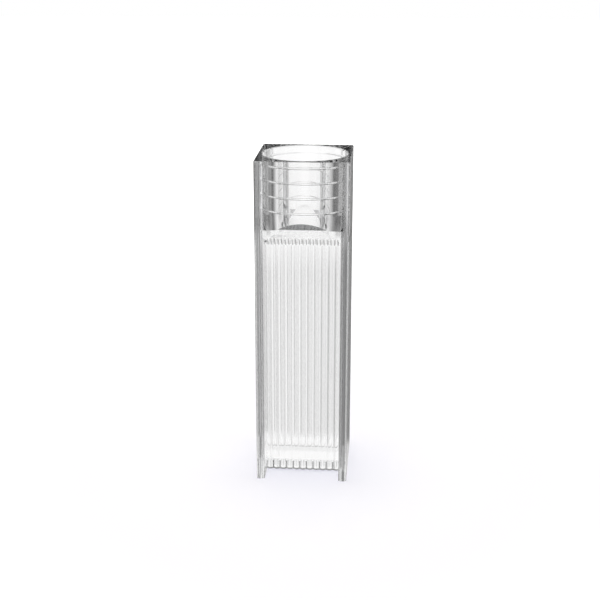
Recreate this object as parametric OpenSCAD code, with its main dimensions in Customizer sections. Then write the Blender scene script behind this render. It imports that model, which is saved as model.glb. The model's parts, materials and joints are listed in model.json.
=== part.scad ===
// Semi-micro spectrophotometer cuvette, moulded in one piece in clear plastic.
// +Z is up and the origin is at the centre of the base. The two plain optical
// walls face -X and +X, and the two ribbed handling walls face -Y and +Y.

/* [Outside] */
// Width across the two optical walls
body_w = 12.5; // [12.3:0.1:13.5]
// Depth across the square head, and width of each optical wall
body_d = 12.5; // [12.3:0.1:13.5]
// Overall height
body_h = 45; // [40:1:60]
// Height of the square head, down to where the ribbed sides are recessed
head_h = 9.1; // [8.5:0.1:12]
// Radius on the upright edges of the head and of the optical walls
edge_r = 0.25; // [0.1:0.05:0.4]

/* [Mouth] */
// Diameter of the round mouth
mouth_dia = 11.3; // [11.1:0.1:11.6]
// Depth of the straight part of the mouth
mouth_depth = 7.5; // [7.5:0.1:8]
// Draft of the funnel below the straight part, in degrees a side
funnel_draft = 2; // [1:0.5:4]
// Number of fine grip rings round the mouth
ring_count = 4; // [1:1:4]
// Distance from the rim to the middle of the first ring
ring_first = 1; // [0.6:0.1:1.5]
// Distance from one ring to the next
ring_pitch = 2; // [1.4:0.1:2.1]
// Depth of a ring into the wall
ring_depth = 0.12; // [0.06:0.02:0.2]
// Height of a ring at the face of the mouth
ring_w = 0.3; // [0.2:0.05:0.4]

/* [Chamber] */
// Light path: inside width between the optical walls
light_path = 10; // [9.5:0.1:10.2]
// Inside depth of the chamber between the ribbed walls
chamber_d = 4.5; // [4:0.1:5]
// Thickness of the chamber's floor
floor_t = 1.3; // [1:0.1:2.5]
// How far the floor stands above the feet of the optical walls
foot_h = 0.1; // [0.1:0.1:2]

/* [Shoulder] */
// Slope of the two shoulders, from the level
shoulder_angle = 42; // [38:1:50]
// Thickness of the shoulders
shoulder_wall = 1; // [0.8:0.1:1.2]

/* [Ribbed walls] */
// Width of each ribbed wall, between the optical walls beside it
recess_w = 10.3; // [10.1:0.1:10.6]
// Number of ribs on each ribbed wall
rib_count = 11; // [7:1:15]
// Width of the flat valley between two ribs
rib_gap = 0.22; // [0.1:0.02:0.3]
// Thickness of the wall in the valleys between the ribs
rib_wall = 0.8; // [0.6:0.05:1]
// How far a rib stands out of the valleys beside it
rib_proud = 0.15; // [0.1:0.05:0.25]

/* [Hidden] */
$fn = 96;
// Overlap of a cut past the surface that it breaks
past = 1;
mouth_r = mouth_dia / 2;
// Thickness of an optical wall where it runs on past the ribbed walls
flange_t = (body_w - recess_w) / 2;
head_z = body_h - head_h;
floor_z = foot_h + floor_t;
slope = tan(shoulder_angle);
// Half depth of the ribbed part in its valleys, and at its crests
valley_y = chamber_d / 2 + rib_wall;
crest_y = valley_y + rib_proud;
rib_pitch = recess_w / rib_count;
rib_w = rib_pitch - rib_gap;
// Radius of the arc that rises rib_proud over half a rib's width
rib_r = (pow(rib_w / 2, 2) + pow(rib_proud, 2)) / (2 * rib_proud);
// Heights of the shoulder's outer plane at the axis, and of its inner plane there
outer_z = head_z - slope * body_d / 2;
inner_z = outer_z + shoulder_wall / cos(shoulder_angle);
// Height at which the inner shoulders reach the chamber
throat_z = inner_z + slope * chamber_d / 2;
// Height at which the mouth's straight part ends and its sides start to draw in
funnel_z = body_h - mouth_depth;
funnel_h = funnel_z - throat_z;
// How far outside the round mouth the side leads would pass, so that they meet the cone below it
lead_clear = 0.1;
// Run of the side leads, outwards from the chamber's ends for each unit of height
lead = (mouth_r + lead_clear - light_path / 2) / funnel_h;
well_top = body_h + past;

// Square with its corners rounded by true arcs
module rounded_rect(w, d, r) {
    square([w - 2 * r, d], center = true);
    square([w, d - 2 * r], center = true);
    for (sx = [-1, 1], sy = [-1, 1])
        translate([sx * (w / 2 - r), sy * (d / 2 - r)])
            circle(r);
}

// Upright profile in Y and Z, drawn through the whole width along X
module along_x(w) {
    rotate([90, 0, 90])
        linear_extrude(w, center = true)
            children();
}

// Upright profile in X and Z, drawn through the whole depth along Y
module along_y(d) {
    rotate([90, 0, 0])
        linear_extrude(d, center = true)
            children();
}

// Section of one ribbed side outside the valleys: a row of low round ribs
module rib_row() {
    for (i = [0 : rib_count - 1])
        translate([(i - (rib_count - 1) / 2) * rib_pitch, crest_y - rib_r])
            circle(rib_r);
}

// Section of the ribbed part between the optical walls
module ribbed_section() {
    square([recess_w, 2 * valley_y], center = true);
    for (side = [0, 180])
        rotate(side)
            rib_row();
}

// Section of the two optical walls, each with its four upright edges rounded
module optical_walls_section() {
    for (side = [-1, 1])
        translate([side * (recess_w + flange_t) / 2, 0])
            rounded_rect(flange_t, body_d, edge_r);
}

// Solid head with shoulders that slope in towards the ribbed part
module head() {
    intersection() {
        linear_extrude(body_h)
            rounded_rect(body_w, body_d, edge_r);
        along_x(body_w + past)
            polygon([
                [0, outer_z],
                [body_d / 2, head_z],
                [body_d / 2 + past, head_z],
                [body_d / 2 + past, body_h + past],
                [-body_d / 2 - past, body_h + past],
                [-body_d / 2 - past, head_z],
                [-body_d / 2, head_z]
            ]);
    }
}

// Everything outside the cavity, as if the cuvette were solid
module outer_body() {
    head();
    linear_extrude(body_h)
        optical_walls_section();
    translate([0, 0, foot_h])
        linear_extrude(head_z - foot_h)
            ribbed_section();
}

// Straight round mouth and the cone below it, in one turned shape
module mouth_and_cone() {
    rotate_extrude()
        polygon([
            [0, throat_z],
            [mouth_r - tan(funnel_draft) * funnel_h, throat_z],
            [mouth_r, funnel_z],
            [mouth_r, well_top],
            [0, well_top]
        ]);
}

// The mouth and its funnel, which slopes over the shoulders and in to the light path
module mouth_and_funnel() {
    intersection() {
        mouth_and_cone();
        along_x(body_w)
            polygon([
                [-chamber_d / 2, throat_z],
                [chamber_d / 2, throat_z],
                [body_d / 2, inner_z + slope * body_d / 2],
                [body_d / 2, well_top + past],
                [-body_d / 2, well_top + past],
                [-body_d / 2, inner_z + slope * body_d / 2]
            ]);
        along_y(body_d)
            polygon([
                [-light_path / 2, throat_z],
                [light_path / 2, throat_z],
                [light_path / 2 + lead * (well_top + past - throat_z), well_top + past],
                [-light_path / 2 - lead * (well_top + past - throat_z), well_top + past]
            ]);
    }
}

// Straight chamber that holds the sample
module chamber_cavity() {
    translate([-light_path / 2, -chamber_d / 2, floor_z])
        cube([light_path, chamber_d, throat_z + past / 2 - floor_z]);
}

// One grip ring: the part of a round bead that reaches past the mouth's face
module grip_ring() {
    bead_r = (pow(ring_w / 2, 2) + pow(ring_depth, 2)) / (2 * ring_depth);
    rotate_extrude()
        translate([mouth_r + ring_depth - bead_r, 0])
            circle(bead_r);
}

module cuvette() {
    color([0.86, 0.89, 0.9, 0.45])
        difference() {
            outer_body();
            mouth_and_funnel();
            chamber_cavity();
            for (i = [0 : ring_count - 1])
                translate([0, 0, body_h - ring_first - i * ring_pitch])
                    grip_ring();
        }
}

cuvette();
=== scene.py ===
import json
import math

import bmesh
import bpy
from mathutils import Matrix, Vector


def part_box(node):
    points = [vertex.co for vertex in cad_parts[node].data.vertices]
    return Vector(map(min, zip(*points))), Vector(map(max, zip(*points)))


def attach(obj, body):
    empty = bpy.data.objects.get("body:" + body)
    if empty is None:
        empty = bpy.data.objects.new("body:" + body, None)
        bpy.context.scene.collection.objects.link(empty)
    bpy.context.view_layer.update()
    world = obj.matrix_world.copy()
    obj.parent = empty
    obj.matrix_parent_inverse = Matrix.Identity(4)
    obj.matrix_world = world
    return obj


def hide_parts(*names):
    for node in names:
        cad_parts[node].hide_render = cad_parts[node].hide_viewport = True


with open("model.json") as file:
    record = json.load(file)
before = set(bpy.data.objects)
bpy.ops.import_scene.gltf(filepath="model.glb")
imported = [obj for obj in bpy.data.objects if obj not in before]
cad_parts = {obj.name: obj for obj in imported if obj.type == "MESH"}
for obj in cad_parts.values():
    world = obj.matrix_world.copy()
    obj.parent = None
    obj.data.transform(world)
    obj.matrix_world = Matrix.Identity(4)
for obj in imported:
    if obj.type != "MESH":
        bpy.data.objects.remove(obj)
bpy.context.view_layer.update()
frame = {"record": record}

# ---------------------------------------------------------------- sizes, in metres

MM = 0.001
low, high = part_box("cuvette")
WIDTH, DEPTH, HEIGHT = high - low
mouth = next(m for m in frame["record"]["mounts"] if m["name"] == "mouth")
MOUTH_R = mouth["dims"]["r_mm"] * MM
MOUTH_DEEP = mouth["dims"]["length_mm"] * MM

HEAD_H = 9.1 * MM
EDGE_R = 0.25 * MM
FUNNEL_DRAFT = math.radians(2)
RINGS = 4
RING_FIRST = 1 * MM
RING_PITCH = 2 * MM
RING_DEPTH = 0.12 * MM
RING_W = 0.3 * MM
LIGHT_PATH = 10 * MM
CHAMBER_D = 4.5 * MM
FLOOR_T = 1.3 * MM
FOOT_H = 0.1 * MM
SHOULDER = math.radians(42)
SHOULDER_WALL = 1 * MM
RIBS = 11
RECESS_W = 10.3 * MM
RIB_GAP = 0.22 * MM
RIB_WALL = 0.8 * MM
RIB_PROUD = 0.15 * MM
RIM_EASE = 0.17 * MM
TOP_EASE = 0.08 * MM
# Two side leads slope from LEAD_CLEAR outside the mouth's radius, at LEAD_TOP, down to the chamber.
LEAD_CLEAR = 0.1 * MM
LEAD_TOP = 35.6 * MM
# How far the cutters reach past what they cut.
PAST = 1 * MM

HEAD_Z = HEIGHT - HEAD_H
SLOPE = math.tan(SHOULDER)
VALLEY_Y = CHAMBER_D / 2 + RIB_WALL
CREST_Y = VALLEY_Y + RIB_PROUD
RIB_PITCH = RECESS_W / RIBS
RIB_W = RIB_PITCH - RIB_GAP
RIB_R = ((RIB_W / 2) ** 2 + RIB_PROUD**2) / (2 * RIB_PROUD)
OUTER_Z = HEAD_Z - SLOPE * DEPTH / 2
INNER_Z = OUTER_Z + SHOULDER_WALL / math.cos(SHOULDER)
THROAT_Z = INNER_Z + SLOPE * CHAMBER_D / 2
FUNNEL_Z = HEIGHT - MOUTH_DEEP

MOUTH_STEPS = 384
ARC_STEPS = 24
CORNER_STEPS = 8
EASE_STEPS = 3

# Points closer than TOUCHING are one point, or twice that once the cuts are made. Points at one height
# differ by less than SAME_HEIGHT.
TOUCHING = 1e-8
SAME_HEIGHT = 1e-7
# A face is parallel to a plane where the dot product of their normals is over FLAT. Edges sharper than
# CRISP stay crisp, and those of a plane from PLANE_CRISP on.
FLAT = 1 - 1e-9
CRISP = math.radians(16)
PLANE_CRISP = math.radians(0.2)

# ---------------------------------------------------------------- values of the plastic

IOR = 1.59
DEPTH_COLOUR = (0.03, 0.05, 0.08, 1)
DEPTH_DENSITY = 10
SHADOW_COLOUR = (0.86, 0.87, 0.9, 1)
FLOW_STRETCH = (900, 900, 220)
FLOW_SCALE = 0.35
RIPPLE_STRENGTH = 0.04
RIPPLE_HEIGHT = 0.05 * MM
POLISH_FLOW = (0.35, 0.75)
ROUGHEST = 0.035

# Painted shade on the skin: greys, from 1, clear, to 0, black, that stand for the dark outlines and darker
# places which refraction gives the clear plastic. A row runs across the cuvette from left to right: where,
# in mm from its middle, and how grey.
CLEAR = 0.99
PAINTED_WALL_END_SHADE = (
    (-6.25, 1), (-6.02, 1), (-5.95, 0.36), (-5.82, 0.36), (-5.7, 0.5), (-5.58, 0.66), (-5.2, 0.62),
    (5.1, 0.9), (5.2, 0.75), (5.3, 0.42), (5.6, 0.3), (5.8, 0.2), (6, 0.25), (6.06, 1), (6.25, 1))
PAINTED_FOOT_SHADE = (
    (-6.25, 1), (-6.08, 1), (-6.02, 0.2), (-5.9, 0.2), (-5.82, 1), (-5.3, 1), (-5.22, 0.7), (-5.1, 0.7),
    (5.05, 1), (5.12, 0.2), (5.24, 0.2), (5.3, 0.9), (5.58, 0.9), (5.7, 0.2), (5.9, 0.2), (6, 1), (6.25, 1))
PAINTED_HEAD_SHADE = (
    (-6.25, 0.12), (-5.55, 0.16), (-5.42, 0.9), (-5.2, 0.9), (-5.05, 0.35), (-4.5, 0.3), (-4.3, 0.6),
    (-4.1, 1), (4.3, 1), (4.6, 0.45), (5.1, 0.4), (5.3, 0.25), (5.5, 0.15), (5.8, 0.2), (5.95, 0.6),
    (6.25, 0.5))
# Single greys of painted shade, each laid whole over its place below.
PAINTED_HEAD_SIDE_SHADE = 0.46
PAINTED_RECESS_SHADE = 0.7
PAINTED_TOP_SHADE = 0.4
PAINTED_DASH_SHADE = 0.25
PAINTED_MARK_SHADE = 0.1
PAINTED_FOOT_LINE_SHADE = 0.12

# Where the painted shade of the foot gives way to the painted shade above, from the left wall's height to
# the right wall's.
LEFT_TO_RIGHT = (-1 * MM, 1 * MM)
LEFT_FOOT_TOP = (2.8 * MM, 3.4 * MM)
RIGHT_FOOT_TOP = (1.7 * MM, 2.3 * MM)

# Where a painted shade lies: what is measured, where it starts to show and where it is full. "off x" and
# "off y" are distances from the middle to either side. "from valley" and "from crest or valley" are
# shares of a rib's pitch.
WALL_ENDS = (
    ("off y", (DEPTH / 2 - EDGE_R, DEPTH / 2 - EDGE_R / 2)),
    ("z", (HEAD_Z + 1 * MM, HEAD_Z - 3 * MM)))
HEAD_FRONT = (
    ("y", (EDGE_R - DEPTH / 2, EDGE_R / 2 - DEPTH / 2)),
    ("z", (HEAD_Z - 3 * MM, HEAD_Z + 1 * MM)))
HEAD_SIDES = (
    ("off x", (WIDTH / 2 - EDGE_R, WIDTH / 2 - EDGE_R / 2)),
    ("off y", (3.8 * MM, 2.8 * MM)),
    ("z", (HEAD_Z - 1 * MM, HEAD_Z + 0.5 * MM)))
RECESS_SIDES = (
    ("off x", (RECESS_W / 2 - 0.1 * MM, RECESS_W / 2 - 0.03 * MM)),
    ("off x", (RECESS_W / 2 + 0.1 * MM, RECESS_W / 2 + 0.03 * MM)),
    ("off y", (CREST_Y + 0.05 * MM, CREST_Y + 0.2 * MM)),
    ("z", (2.9 * MM, 5 * MM)),
    ("z", (HEAD_Z, HEAD_Z - 3 * MM)))
TOP_FACE = (
    ("z", (HEIGHT - 0.12 * MM, HEIGHT - 0.04 * MM)),)
RIBBED_WALLS = (
    ("off y", (VALLEY_Y - 0.2 * MM, VALLEY_Y - 0.05 * MM)),
    ("off x", (RECESS_W / 2 + 0.05 * MM, RECESS_W / 2 - 0.05 * MM)))
# The dashes on the shoulder, the marks at the ribs' feet and the line along the foot are painted shade.
SHOULDER_SHADE_DASHES = RIBBED_WALLS + (
    ("from crest or valley", (0.11, 0.06)),
    ("z", (33.1 * MM, 33.25 * MM)),
    ("z", (34.4 * MM, 34.1 * MM)),
    ("y", (0.2 * MM - VALLEY_Y, -VALLEY_Y)))
BASE_SHADE_MARKS = RIBBED_WALLS + (
    ("from valley", (0.13, 0.07)),
    ("z", (1.45 * MM, 1.3 * MM)))
FOOT_SHADE_LINE = RIBBED_WALLS + (
    ("z", (0.36 * MM, 0.26 * MM)),)

# ---------------------------------------------------------------- values of the studio

# Rows of tones by bearing: degrees from straight behind the cuvette, clockwise from above, and how
# bright, from 0, black, to 1, white.
EVEN_DOWN = ((-180, 1.0), (180, 1.0))
EVEN_LEVEL = ((-180, 1.05), (180, 1.05))
BRIGHT_HIGH = ((-180, 1.1), (-90, 1.0), (0, 1.1), (90, 1.0), (180, 1.1))
TURNED_LOW = (
    (-180, 1.05), (-118, 1.0), (-106, 0.65), (-98, 0.32), (-89, 0.14), (-80, 0.32), (-60, 0.36),
    (-52, 0.5), (-44, 0.72), (-30, 0.8), (-16, 0.74), (-9, 1.02), (9, 1.02), (13, 0.84), (17, 0.32),
    (30, 0.4), (45, 0.45), (64, 0.36), (76, 0.24), (88, 0.28), (98, 0.5), (110, 0.7), (125, 1.0),
    (180, 1.05))
TURNED_LEVEL = (
    (-180, 1.05), (-118, 1.0), (-106, 0.65), (-98, 0.32), (-89, 0.12), (-78, 0.32), (-64, 0.4), (-58, 0.9),
    (-52, 1.0), (-20, 1.04), (0, 1.1), (20, 1.04), (50, 1.0), (57, 0.6), (68, 0.42), (78, 0.2), (88, 0.15),
    (98, 0.45), (110, 0.7), (125, 1.0), (180, 1.05))
STRAIGHT_LOW = (
    (-180, 1.05), (-60, 1.0), (-44, 0.72), (-30, 0.8), (-16, 0.74), (-9, 1.02), (9, 1.02), (13, 0.84),
    (17, 0.32), (30, 0.4), (42, 0.5), (56, 1.0), (180, 1.05))
MIRRORED_LOW = (
    (-180, 0.1), (-150, 0.15), (-120, 0.3), (-5, 0.3), (0, 0.2), (6, 0.2), (14, 0.6), (120, 0.8), (155, 0.8),
    (180, 0.1))
MIRRORED_HIGH = ((-180, 0.12), (0, 0.06), (180, 0.12))

# The rows one above the other, from below, for light that was mirrored inside the plastic on its way
# through, went straight through, or was mirrored on the outside.
SURROUND = {
    "turned": (EVEN_DOWN, TURNED_LOW, TURNED_LEVEL, BRIGHT_HIGH),
    "straight": (EVEN_DOWN, STRAIGHT_LOW, EVEN_LEVEL, BRIGHT_HIGH),
    "mirrored": (MIRRORED_LOW, MIRRORED_LOW, MIRRORED_LOW, MIRRORED_HIGH),
}
# How high a direction points where a row fades into the next one, from -1, straight down, to 1, straight up.
ROW_FADES = ((-0.6, -0.5), (-0.285, -0.255), (-0.1, 0.08))
# How bright the studio is for matt surfaces.
WORLD_FILL = 0.2

TABLE_HALF = 0.8
AIR_GAP = 0.03 * MM
FLOOR_COLOUR = (0.78, 0.78, 0.78, 1)
WHITE = (1, 1, 1, 1)
# The floor's own faint glow near the cuvette, and over what distance it grows to white.
NEAR_GLOW = (0.19, 0.18, 0.215, 1)
GLOW_FADE = (30 * MM, 120 * MM)
# What the plastic shows of the floor beneath it: straight through, after many mirrorings inside, and
# mirrored on its outside. Further off it shows the studio instead.
UNDER_GLOW = 1.02
UNDER_SHADE = 0.55
UNDER_MIRRORED = 0.6
UNDER_FADE = (8 * MM, 11 * MM)
# Halves that part whole numbers of mirrorings: one or more, and four or more.
MIRRORED_ONCE = 0.5
MIRRORED_OFTEN = 3.5

LAMP_PLACE = (-0.01, 0.03, 0.5)
LAMP_SIZE = 0.3
LAMP_W = 2.3
LAMP_COLOUR = (1, 0.995, 0.98)

# The camera looks down by CAMERA_PITCH and left by CAMERA_YAW. The middle of the base lies ACROSS to its
# right, DROP below it and AWAY in front of it. The lens and the sensor are in millimetres.
CAMERA_PITCH = math.radians(17.94)
CAMERA_YAW = math.radians(4.57)
CAMERA_ACROSS = 0.677 * MM
CAMERA_DROP = 23.222 * MM
CAMERA_AWAY = 169.9 * MM
LENS = 70.38
SENSOR = 36
NEAREST_SEEN = 1 * MM
BOUNCES = 24
MIRROR_BOUNCES = 12


# ---------------------------------------------------------------- mesh helpers


def line_to(bm, last, place):
    """The chain of edges goes on from last to place, and its new end comes back."""
    end = bmesh.ops.extrude_vert_indiv(bm, verts=[last])["verts"][0]
    end.co = place
    return end


def arc_to(bm, last, centre, axis, angle, steps):
    """The chain of edges goes on round centre, and its new end comes back."""
    turned = bmesh.ops.spin(bm, geom=[last], cent=centre, axis=axis, dvec=(0, 0, 0), angle=angle, steps=steps,
                            use_merge=False, use_duplicate=False)
    return next(g for g in turned["geom_last"] if isinstance(g, bmesh.types.BMVert))


def raise_face(bm, face, by):
    """The face moves by a vector and leaves walls behind it."""
    grown = bmesh.ops.extrude_face_region(bm, geom=[face])["geom"]
    bmesh.ops.translate(bm, vec=by, verts=[g for g in grown if isinstance(g, bmesh.types.BMVert)])
    if all(len(e.link_faces) > 2 for e in face.edges):
        bmesh.ops.delete(bm, geom=[face], context="FACES_ONLY")


def slice_off(bm, on_plane, outward):
    """Everything past the plane goes, and the cut is closed."""
    bmesh.ops.bisect_plane(bm, geom=bm.verts[:] + bm.edges[:] + bm.faces[:], dist=TOUCHING,
                           plane_co=on_plane, plane_no=Vector(outward).normalized(), clear_outer=True)
    bmesh.ops.holes_fill(bm, edges=[e for e in bm.edges if e.is_boundary], sides=0)


def round_off(bm, edges, radius, steps):
    """The edges turn into small roundings."""
    bmesh.ops.bevel(bm, geom=edges, offset=radius, offset_type="OFFSET", segments=steps, profile=0.5,
                    affect="EDGES", material=-1)


def is_level(part, z):
    """True for an edge or a face that lies level at height z."""
    return all(abs(v.co.z - z) < SAME_HEIGHT for v in part.verts)


def as_object(bm, name):
    """The finished bmesh as an object of the scene, with its normals outwards."""
    bmesh.ops.recalc_face_normals(bm, faces=bm.faces)
    mesh = bpy.data.meshes.new(name)
    bm.to_mesh(mesh)
    bm.free()
    made = bpy.data.objects.new(name, mesh)
    bpy.context.scene.collection.objects.link(made)
    return made


def box_between(bm, corner, other):
    """A block between two corners."""
    made = bmesh.ops.create_cube(bm, size=1)["verts"]
    corner, other = Vector(corner), Vector(other)
    bmesh.ops.scale(bm, vec=other - corner, verts=made)
    bmesh.ops.translate(bm, vec=(corner + other) / 2, verts=made)


# ---------------------------------------------------------------- the cuvette's shape


def solid_block():
    """The outline of the head and the optical walls, with its upright edges rounded."""
    bm = bmesh.new()
    box_between(bm, (-WIDTH / 2, -DEPTH / 2, 0), (WIDTH / 2, DEPTH / 2, HEIGHT))
    upright = [e for e in bm.edges if abs(e.verts[0].co.z - e.verts[1].co.z) > HEIGHT / 2]
    round_off(bm, upright, EDGE_R, CORNER_STEPS)
    top = [e for e in bm.edges if all(v.co.z > HEIGHT - EDGE_R for v in e.verts)]
    round_off(bm, top, TOP_EASE, EASE_STEPS)
    return as_object(bm, "block")


def ribbed_recess():
    """What is cut away in front of the ribbed wall, up to the sloped shoulder."""
    bm = bmesh.new()
    half = RECESS_W / 2
    bottom = -PAST
    end = bm.verts.new((-half, -VALLEY_Y, bottom))
    half_turn = math.asin(RIB_W / 2 / RIB_R)
    for i in range(RIBS):
        middle = (i - (RIBS - 1) / 2) * RIB_PITCH
        end = line_to(bm, end, (middle - RIB_W / 2, -VALLEY_Y, bottom))
        end = arc_to(bm, end, (middle, RIB_R - CREST_Y, bottom), (0, 0, 1), 2 * half_turn, ARC_STEPS)
    end = line_to(bm, end, (half, -VALLEY_Y, bottom))
    end = line_to(bm, end, (half, EDGE_R - DEPTH / 2, bottom))
    end = arc_to(bm, end, (half + EDGE_R, EDGE_R - DEPTH / 2, bottom), (0, 0, 1), math.pi / 2, CORNER_STEPS)
    end = line_to(bm, end, (half + EDGE_R, -DEPTH / 2 - PAST, bottom))
    end = line_to(bm, end, (-half - EDGE_R, -DEPTH / 2 - PAST, bottom))
    end = line_to(bm, end, (-half - EDGE_R, -DEPTH / 2, bottom))
    end = arc_to(bm, end, (-half - EDGE_R, EDGE_R - DEPTH / 2, bottom), (0, 0, 1), math.pi / 2, CORNER_STEPS)
    line_to(bm, end, (-half, -VALLEY_Y, bottom))
    bmesh.ops.remove_doubles(bm, verts=bm.verts, dist=TOUCHING)
    section = bmesh.ops.contextual_create(bm, geom=bm.edges[:])["faces"][0]
    raise_face(bm, section, (0, 0, HEIGHT))
    slice_off(bm, (0, 0, OUTER_Z), (0, SLOPE, 1))
    return bm


def both_recesses():
    """The recess in front, and the same one turned round for the back."""
    bm = ribbed_recess()
    copied = bmesh.ops.duplicate(bm, geom=bm.verts[:] + bm.edges[:] + bm.faces[:])["geom"]
    bmesh.ops.rotate(bm, cent=(0, 0, 0), matrix=Matrix.Rotation(math.pi, 3, "Z"),
                     verts=[g for g in copied if isinstance(g, bmesh.types.BMVert)])
    return as_object(bm, "recesses")


def foot_gap():
    """What is cut away under the chamber, so that the cuvette stands on its two optical walls."""
    bm = bmesh.new()
    box_between(bm, (-RECESS_W / 2, -VALLEY_Y - PAST, -PAST), (RECESS_W / 2, VALLEY_Y + PAST, FOOT_H))
    return as_object(bm, "foot_gap")


def well():
    """The round mouth with its grip rings, the funnel over the shoulders, and the chamber."""
    bm = bmesh.new()
    throat_r = MOUTH_R - math.tan(FUNNEL_DRAFT) * (FUNNEL_Z - THROAT_Z)
    bead_r = ((RING_W / 2) ** 2 + RING_DEPTH**2) / (2 * RING_DEPTH)
    half_turn = math.asin(RING_W / 2 / bead_r)
    end = bm.verts.new((throat_r, 0, THROAT_Z))
    end = line_to(bm, end, (MOUTH_R, 0, FUNNEL_Z))
    for i in reversed(range(RINGS)):
        ring_z = HEIGHT - RING_FIRST - i * RING_PITCH
        end = line_to(bm, end, (MOUTH_R, 0, ring_z - RING_W / 2))
        end = arc_to(bm, end, (MOUTH_R + RING_DEPTH - bead_r, 0, ring_z), (0, -1, 0), 2 * half_turn,
                     ARC_STEPS // 2)
    end = line_to(bm, end, (MOUTH_R, 0, HEIGHT - RIM_EASE))
    end = line_to(bm, end, (MOUTH_R + RIM_EASE, 0, HEIGHT))
    line_to(bm, end, (MOUTH_R + RIM_EASE, 0, HEIGHT + PAST))
    bmesh.ops.spin(bm, geom=bm.verts[:] + bm.edges[:], cent=(0, 0, 0), axis=(0, 0, 1), dvec=(0, 0, 0),
                   angle=2 * math.pi, steps=MOUTH_STEPS, use_merge=True)
    bmesh.ops.remove_doubles(bm, verts=bm.verts, dist=TOUCHING)
    bmesh.ops.holes_fill(bm, edges=[e for e in bm.edges if e.is_boundary], sides=0)
    lead = (MOUTH_R + LEAD_CLEAR - LIGHT_PATH / 2) / (LEAD_TOP - THROAT_Z)
    for side in (-1, 1):
        slice_off(bm, (0, 0, INNER_Z), (0, side * SLOPE, -1))
        slice_off(bm, (side * LIGHT_PATH / 2, 0, THROAT_Z), (side, 0, -lead))
    bm.normal_update()
    throat = next(f for f in bm.faces if is_level(f, THROAT_Z))
    raise_face(bm, throat, (0, 0, FOOT_H + FLOOR_T - THROAT_Z))
    return as_object(bm, "well")


def shade(mesh):
    """Round surfaces shade smooth, and every edge of a plane stays crisp."""
    bm = bmesh.new()
    bm.from_mesh(mesh)
    bmesh.ops.remove_doubles(bm, verts=bm.verts, dist=2 * TOUCHING)
    bmesh.ops.dissolve_degenerate(bm, edges=bm.edges, dist=TOUCHING)
    bmesh.ops.recalc_face_normals(bm, faces=bm.faces)
    slant = [Vector((0, y, z)).normalized() for y, z in ((SLOPE, 1), (SLOPE, -1))]
    plain = [Vector((1, 0, 0)), Vector((0, 1, 0)), Vector((0, 0, 1))] + slant
    planes = {f.index for f in bm.faces if any(abs(f.normal.dot(n)) > FLAT for n in plain)}
    for face in bm.faces:
        face.smooth = True
    for edge in bm.edges:
        if len(edge.link_faces) != 2:
            continue
        angle = edge.calc_face_angle(0)
        on_plane = any(f.index in planes for f in edge.link_faces)
        edge.smooth = not (angle > CRISP or (on_plane and angle > PLANE_CRISP) or is_level(edge, FUNNEL_Z))
    bm.to_mesh(mesh)
    bm.free()


def cuvette_body():
    """The block, with the recesses, the gap between the feet and the well cut out of it."""
    body = solid_block()
    cutters = [both_recesses(), foot_gap(), well()]
    for cutter in cutters:
        cut = body.modifiers.new(cutter.name, "BOOLEAN")
        cut.operation = "DIFFERENCE"
        cut.solver = "EXACT"
        cut.object = cutter
    finished = bpy.data.meshes.new_from_object(body.evaluated_get(bpy.context.evaluated_depsgraph_get()))
    for used in [body] + cutters:
        bpy.data.objects.remove(used)
    shade(finished)
    finished.materials.clear()
    made = bpy.data.objects.new("clear_cuvette", finished)
    bpy.context.scene.collection.objects.link(made)
    return made


# ---------------------------------------------------------------- shader helpers


class Nodes:
    """A node tree that is built up from empty."""

    def __init__(self, tree):
        self.tree = tree
        tree.nodes.clear()

    def add(self, kind, values=None, **settings):
        """A new node. Its inputs are named or numbered, and take values or the outputs of other nodes."""
        node = self.tree.nodes.new(kind)
        for key, value in settings.items():
            setattr(node, key, value)
        for key, value in (values or {}).items():
            if isinstance(value, bpy.types.NodeSocket):
                self.tree.links.new(value, node.inputs[key])
            else:
                node.inputs[key].default_value = value
        return node


def worked_out(n, operation, *values):
    """What a Math node makes of the values."""
    return n.add("ShaderNodeMath", dict(enumerate(values)), operation=operation).outputs[0]


def mixed(n, factor, first, second):
    """The first value where the factor is 0, and the second where it is 1."""
    return n.add("ShaderNodeMix", {0: factor, 2: first, 3: second}, data_type="FLOAT").outputs[0]


def fade(n, value, start, end, curve="SMOOTHSTEP"):
    """It grows from 0 at start to 1 at end, and stays level past them."""
    grown = n.add("ShaderNodeMapRange", {"Value": value, "From Min": start, "From Max": end},
                  interpolation_type=curve)
    return grown.outputs["Result"]


def tone_row(n, share, stops):
    """A row of tones over a share of 0 to 1, from (share, tone) pairs."""
    ramp = n.add("ShaderNodeValToRGB", {"Fac": share})
    dots = ramp.color_ramp.elements
    while len(dots) < len(stops):
        dots.new(1)
    for dot, (at, tone) in zip(dots, stops):
        dot.position = at
        dot.color = (tone, tone, tone, 1)
    return ramp.outputs["Color"]


def mixed_shader(n, factor, first, second):
    """The first shader where the factor is 0, and the second where it is 1."""
    return n.add("ShaderNodeMixShader", {0: factor, 1: first, 2: second}).outputs[0]


# ---------------------------------------------------------------- the plastic


def within(n, measures, limits):
    """1 where every limit is full, and 0 outside any of them."""
    inside = 1
    for measure, (start, end) in limits:
        inside = worked_out(n, "MULTIPLY", inside, fade(n, measures[measure], start, end))
    return inside


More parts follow.
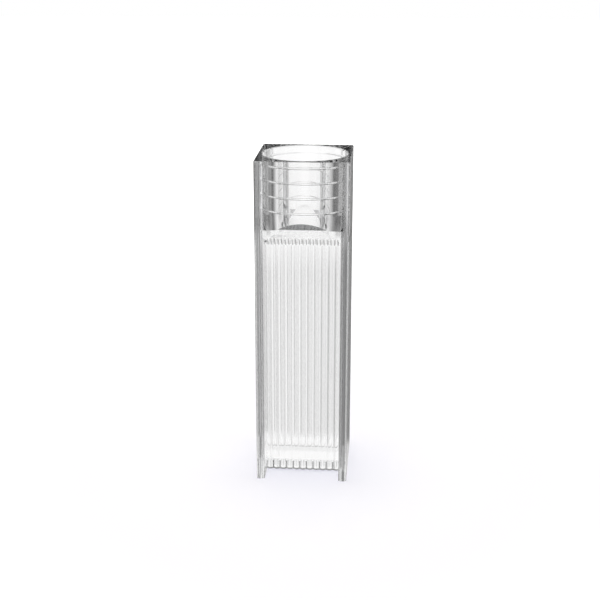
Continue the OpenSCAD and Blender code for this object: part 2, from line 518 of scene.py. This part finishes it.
def painted_skin_shade(n, place):
    """The skin's colour: clear, with painted shade where the limits say."""
    at = n.add("ShaderNodeSeparateXYZ", {0: place}).outputs
    size = n.add("ShaderNodeVectorMath", {0: place}, operation="ABSOLUTE")
    off = n.add("ShaderNodeSeparateXYZ", {0: size.outputs["Vector"]}).outputs
    valleys = worked_out(n, "MULTIPLY_ADD", at["X"], 1 / RIB_PITCH, RIBS / 2)
    measures = {
        "y": at["Y"],
        "z": at["Z"],
        "off x": off["X"],
        "off y": off["Y"],
        "from valley": worked_out(n, "PINGPONG", valleys, 1 / 2),
        "from crest or valley": worked_out(n, "PINGPONG", valleys, 1 / 4),
    }
    share = fade(n, at["X"], -WIDTH / 2, WIDTH / 2, "LINEAR")
    wall_end_shade_row, foot_shade_row, head_shade_row = (
        tone_row(n, share, [(x * MM / WIDTH + 1 / 2, CLEAR * grey) for x, grey in greys])
        for greys in (PAINTED_WALL_END_SHADE, PAINTED_FOOT_SHADE, PAINTED_HEAD_SHADE))
    above_foot = mixed(n, fade(n, at["X"], *LEFT_TO_RIGHT), fade(n, at["Z"], *LEFT_FOOT_TOP),
                       fade(n, at["Z"], *RIGHT_FOOT_TOP))
    shade_tint = CLEAR
    # Each limit lays a grey of painted shade over the clear skin.
    for limits, grey in (
        (WALL_ENDS, mixed(n, above_foot, foot_shade_row, wall_end_shade_row)),
        (HEAD_FRONT, head_shade_row),
        (HEAD_SIDES, PAINTED_HEAD_SIDE_SHADE),
        (RECESS_SIDES, PAINTED_RECESS_SHADE),
        (TOP_FACE, PAINTED_TOP_SHADE),
        (SHOULDER_SHADE_DASHES, PAINTED_DASH_SHADE),
        (BASE_SHADE_MARKS, PAINTED_MARK_SHADE),
        (FOOT_SHADE_LINE, PAINTED_FOOT_LINE_SHADE),
    ):
        shade_tint = mixed(n, within(n, measures, limits), shade_tint, grey)
    return shade_tint


def clear_plastic():
    """Clear moulded polystyrene, slightly absorbing in its depth, with a faint waviness of its skin and
    painted shade on it.
    """
    material = bpy.data.materials.new("clear_polystyrene")
    material.use_nodes = True
    n = Nodes(material.node_tree)
    place = n.add("ShaderNodeTexCoord").outputs["Object"]
    stretch = n.add("ShaderNodeMapping", {"Vector": place, "Scale": FLOW_STRETCH})
    flow = n.add("ShaderNodeTexNoise", {"Vector": stretch.outputs["Vector"], "Scale": FLOW_SCALE, "Detail": 2,
                                        "Roughness": 0.5})
    ripple = n.add("ShaderNodeBump", {"Height": flow.outputs["Fac"], "Strength": RIPPLE_STRENGTH,
                                      "Distance": RIPPLE_HEIGHT})
    polish = n.add("ShaderNodeMapRange", {"Value": flow.outputs["Fac"], "From Min": POLISH_FLOW[0],
                                          "From Max": POLISH_FLOW[1], "To Min": 0, "To Max": ROUGHEST})
    skin = n.add("ShaderNodeBsdfPrincipled", {
        # The base colour carries the painted shade.
        "Base Color": painted_skin_shade(n, place),
        "Roughness": polish.outputs["Result"],
        "Normal": ripple.outputs["Normal"],
        "Transmission Weight": 1,
        "IOR": IOR,
    })
    see_through = n.add("ShaderNodeBsdfTransparent", {"Color": SHADOW_COLOUR})
    path = n.add("ShaderNodeLightPath")
    surface = mixed_shader(n, path.outputs["Is Shadow Ray"], skin.outputs[0], see_through.outputs[0])
    depth = n.add("ShaderNodeVolumeAbsorption", {"Color": DEPTH_COLOUR, "Density": DEPTH_DENSITY})
    n.add("ShaderNodeOutputMaterial", {"Surface": surface, "Volume": depth.outputs[0]})
    return material


# ---------------------------------------------------------------- the studio


def surround_tones(n, way):
    """How bright the studio looks in a direction, for each way that light takes in SURROUND."""
    unit = n.add("ShaderNodeVectorMath", {0: way}, operation="NORMALIZE")
    towards = n.add("ShaderNodeSeparateXYZ", {0: unit.outputs["Vector"]}).outputs
    share = fade(n, worked_out(n, "ARCTAN2", towards["X"], towards["Y"]), -math.pi, math.pi, "LINEAR")
    tones = {}
    for light, rows in SURROUND.items():
        lowest, *higher = (
            tone_row(n, share, [((degrees + 180) / 360, tone) for degrees, tone in row])
            for row in rows)
        tones[light] = lowest
        for (start, end), row in zip(ROW_FADES, higher):
            tones[light] = mixed(n, fade(n, towards["Z"], start, end, "LINEAR"), tones[light], row)
    return tones


def studio_world():
    """The studio round the cuvette. The camera sees it white, and the plastic sees its dark cards."""
    world = bpy.data.worlds.new("studio")
    bpy.context.scene.world = world
    world.use_nodes = True
    n = Nodes(world.node_tree)
    tones = surround_tones(n, n.add("ShaderNodeTexCoord").outputs["Generated"])
    path = n.add("ShaderNodeLightPath").outputs
    turned = worked_out(n, "GREATER_THAN", path["Glossy Depth"], MIRRORED_ONCE)
    through = mixed(n, turned, tones["straight"], tones["turned"])
    outside = mixed(n, path["Is Glossy Ray"], WORLD_FILL, tones["mirrored"])
    seen = mixed(n, path["Is Transmission Ray"], outside, through)
    strength = mixed(n, path["Is Camera Ray"], seen, 1)
    sky = n.add("ShaderNodeBackground", {"Color": WHITE, "Strength": strength})
    n.add("ShaderNodeOutputWorld", {"Surface": sky.outputs[0]})


def floor_material():
    """Pale matt table top that keeps the cuvette's soft shadow."""
    material = bpy.data.materials.new("pale_table")
    material.use_nodes = True
    n = Nodes(material.node_tree)
    place = n.add("ShaderNodeTexCoord").outputs["Object"]
    away = n.add("ShaderNodeVectorMath", {0: place}, operation="LENGTH").outputs["Value"]
    path = n.add("ShaderNodeLightPath").outputs
    matt = n.add("ShaderNodeBsdfDiffuse", {"Color": FLOOR_COLOUR})
    glow_colour = n.add("ShaderNodeMix", {0: fade(n, away, *GLOW_FADE), 6: NEAR_GLOW, 7: WHITE},
                        data_type="RGBA")
    glow = n.add("ShaderNodeEmission", {"Color": glow_colour.outputs[2], "Strength": 1})
    lit = n.add("ShaderNodeAddShader", {0: matt.outputs[0], 1: glow.outputs[0]})
    piped = worked_out(n, "GREATER_THAN", path["Glossy Depth"], MIRRORED_OFTEN)
    beneath = mixed(n, piped, UNDER_GLOW, UNDER_SHADE)
    strength = mixed(n, path["Is Transmission Ray"], UNDER_MIRRORED, beneath)
    under = n.add("ShaderNodeEmission", {"Color": WHITE, "Strength": strength})
    open_studio = n.add("ShaderNodeBsdfTransparent", {"Color": WHITE})
    by_plastic = mixed_shader(n, fade(n, away, *UNDER_FADE), under.outputs[0], open_studio.outputs[0])
    seen_by_plastic = worked_out(n, "MAXIMUM", path["Is Glossy Ray"], path["Is Transmission Ray"])
    surface = mixed_shader(n, seen_by_plastic, lit.outputs[0], by_plastic)
    n.add("ShaderNodeOutputMaterial", {"Surface": surface})
    return material


def table_top():
    """The floor, a hair under the feet."""
    bm = bmesh.new()
    bmesh.ops.create_grid(bm, x_segments=1, y_segments=1, size=TABLE_HALF)
    bmesh.ops.translate(bm, vec=(0, 0, -AIR_GAP), verts=bm.verts)
    floor = as_object(bm, "table_top")
    floor.data.materials.append(floor_material())


def overhead_lamp():
    """A soft round lamp above the cuvette, aimed at its base, which the plastic doesn't show."""
    light = bpy.data.lights.new("overhead", "AREA")
    light.shape = "DISK"
    light.size = LAMP_SIZE
    light.energy = LAMP_W
    light.color = LAMP_COLOUR
    lamp = bpy.data.objects.new("overhead", light)
    bpy.context.scene.collection.objects.link(lamp)
    lamp.location = LAMP_PLACE
    lamp.rotation_euler = (-Vector(LAMP_PLACE)).to_track_quat("-Z", "Y").to_euler()
    lamp.visible_glossy = False
    lamp.visible_transmission = False
    lamp.visible_camera = False


def camera():
    """A long lens a little above the cuvette, aimed past its middle."""
    level = Vector((-math.sin(CAMERA_YAW), math.cos(CAMERA_YAW), 0))
    forward = math.cos(CAMERA_PITCH) * level - math.sin(CAMERA_PITCH) * Vector((0, 0, 1))
    right = Vector((math.cos(CAMERA_YAW), math.sin(CAMERA_YAW), 0))
    upward = right.cross(forward)
    turn = Matrix((right, upward, -forward)).transposed().to_4x4()
    turn.translation = CAMERA_DROP * upward - CAMERA_AWAY * forward - CAMERA_ACROSS * right
    made = bpy.data.cameras.new("camera")
    made.sensor_width = SENSOR
    made.lens = LENS
    made.clip_start = NEAREST_SEEN
    holder = bpy.data.objects.new("camera", made)
    holder.matrix_world = turn
    bpy.context.scene.collection.objects.link(holder)
    bpy.context.scene.camera = holder


# ---------------------------------------------------------------- the scene

piece = cuvette_body()
piece.data.materials.append(clear_plastic())
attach(piece, "root")
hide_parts("cuvette")

studio_world()
table_top()
overhead_lamp()
camera()

scene = bpy.context.scene
scene.view_settings.view_transform = "Standard"
scene.cycles.max_bounces = BOUNCES
scene.cycles.transmission_bounces = BOUNCES
scene.cycles.glossy_bounces = MIRROR_BOUNCES
scene.cycles.transparent_max_bounces = BOUNCES
